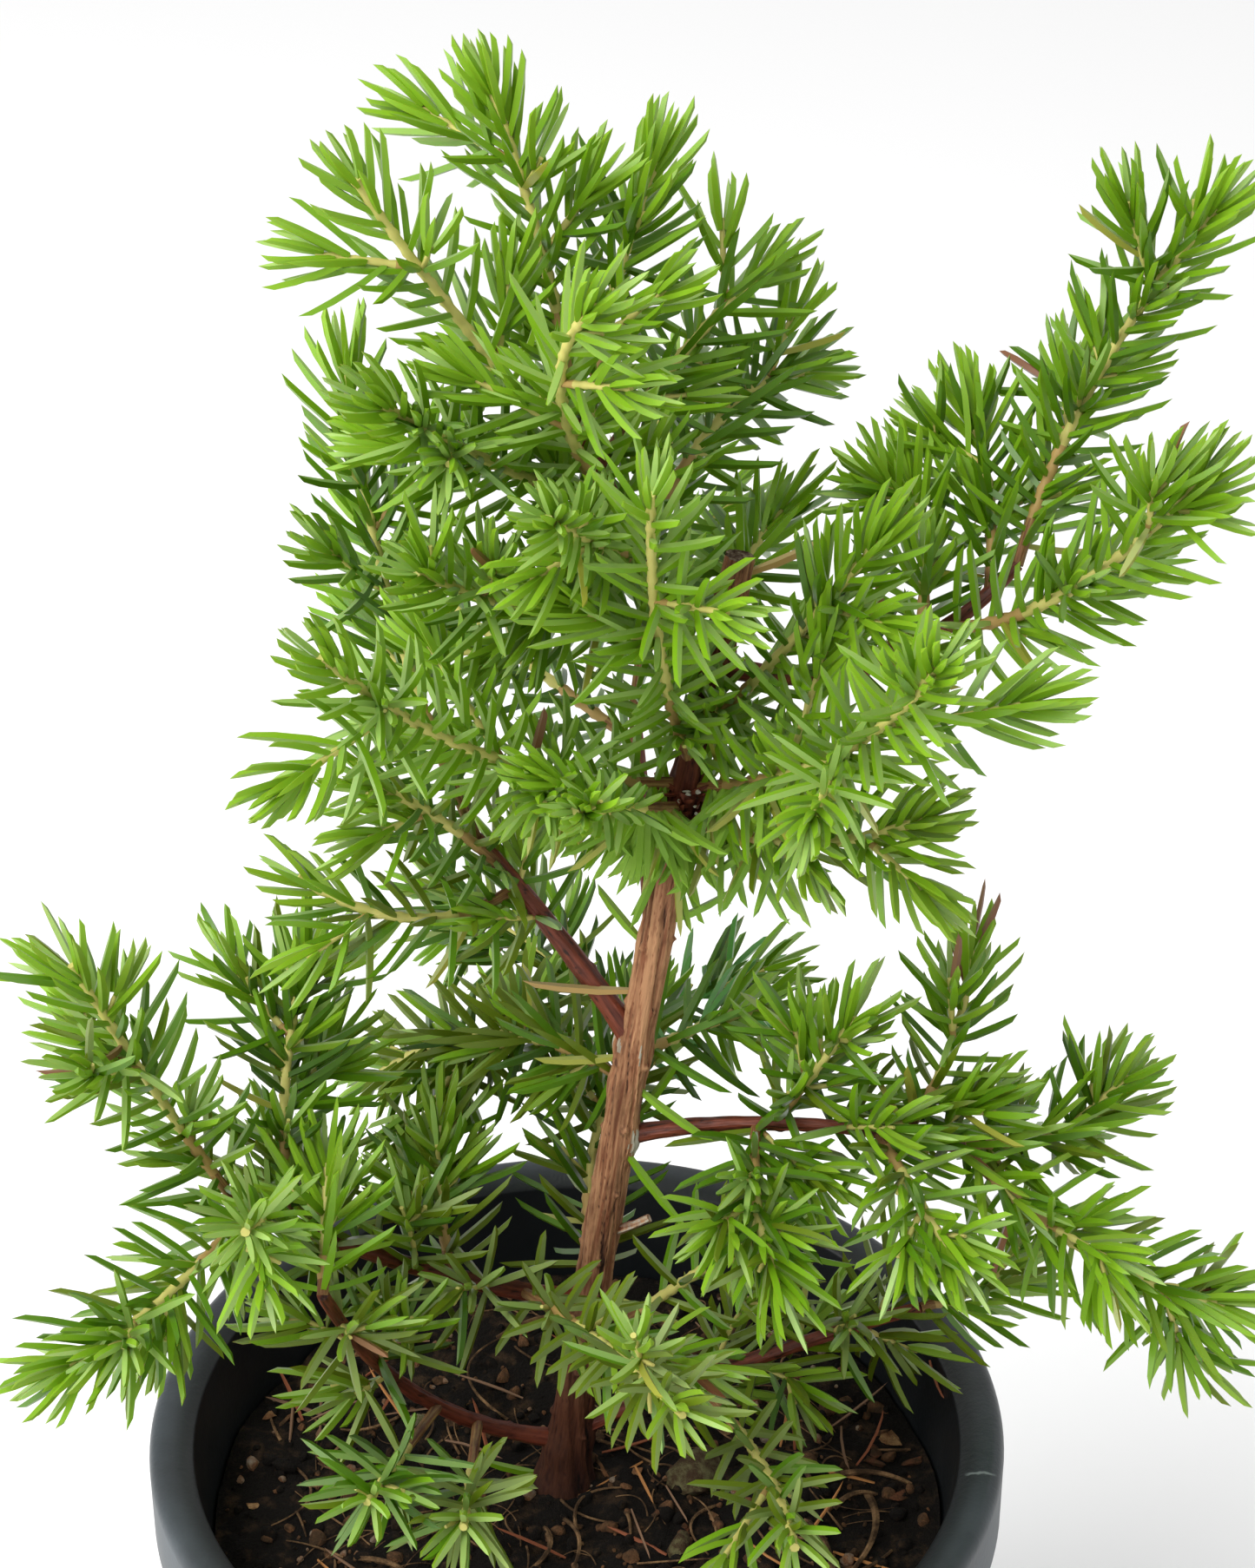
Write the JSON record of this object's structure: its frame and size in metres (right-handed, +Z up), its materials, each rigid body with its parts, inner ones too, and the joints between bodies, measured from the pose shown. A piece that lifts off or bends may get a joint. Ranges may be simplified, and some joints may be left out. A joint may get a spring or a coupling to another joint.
{
  "type": "potted shore juniper",
  "caption": "Young shore juniper with a slim leaning trunk, spreading boughs and open sprays of green needles, in a round dark plastic nursery pot filled with potting mix.",
  "frame": {"origin": "centre of the pot's flat underside, at the mount named stand", "axes": "+Z up; the front of the plant faces -Y and +X is to its right as the viewer sees it"},
  "size_m": [0.1692, 0.1379, 0.3124],
  "materials": {
    "pot_plastic": "satin slate-black moulded plastic",
    "potting_mix": "damp dark potting mix with bark chips",
    "trunk_bark": "tan to red-brown peeling bark",
    "bough_bark": "smooth red-brown young bark",
    "foliage": "satin yellow-green needles"
  },
  "bodies": {
    "root": {"pot": "pot_plastic", "soil": "potting_mix", "trunk": "trunk_bark", "left_bough": "bough_bark", "right_bough": "bough_bark", "low_left_bough": "bough_bark", "ground_left_bough": "bough_bark", "ground_right_bough": "bough_bark", "upper_right_bough": "bough_bark", "upper_left_bough": "bough_bark", "back_low_bough": "bough_bark", "back_bough": "bough_bark", "crown_left": "foliage", "crown_leader": "foliage", "crown_right": "foliage", "crown_front": "foliage", "crown_fork": "foliage", "crown_star": "foliage", "crown_shelf": "foliage", "crown_back": "foliage", "crown_back_low": "foliage", "stub_tuft": "foliage", "left_tall": "foliage", "left_bend": "foliage", "left_tongue": "foliage", "whorl_left": "foliage", "whorl_star": "foliage", "whorl_up": "foliage", "whorl_right": "foliage", "whorl_back": "foliage", "whorl_low": "foliage", "arm_tip": "foliage", "arm_right": "foliage", "arm_up": "foliage", "arm_inner": "foliage", "low_right_rise": "foliage", "low_right_dead": "foliage", "low_right_fan": "foliage", "low_right_tip": "foliage", "low_right_hang": "foliage", "low_right_under": "foliage", "behind_right": "foliage", "behind_left": "foliage", "low_left_tip": "foliage", "low_left_rise": "foliage", "low_left_hang": "foliage", "low_left_star": "foliage", "low_left_back": "foliage", "low_left_front": "foliage", "ground_left_rise": "foliage", "front_star_left": "foliage", "front_star_right": "foliage", "right_tuft": "foliage", "ground_right_front": "foliage", "ground_right_tip": "foliage", "behind_trunk": "foliage", "back_low_left": "foliage", "back_low_right": "foliage", "back_up": "foliage", "back_left": "foliage"}
  },
  "joints": []
}
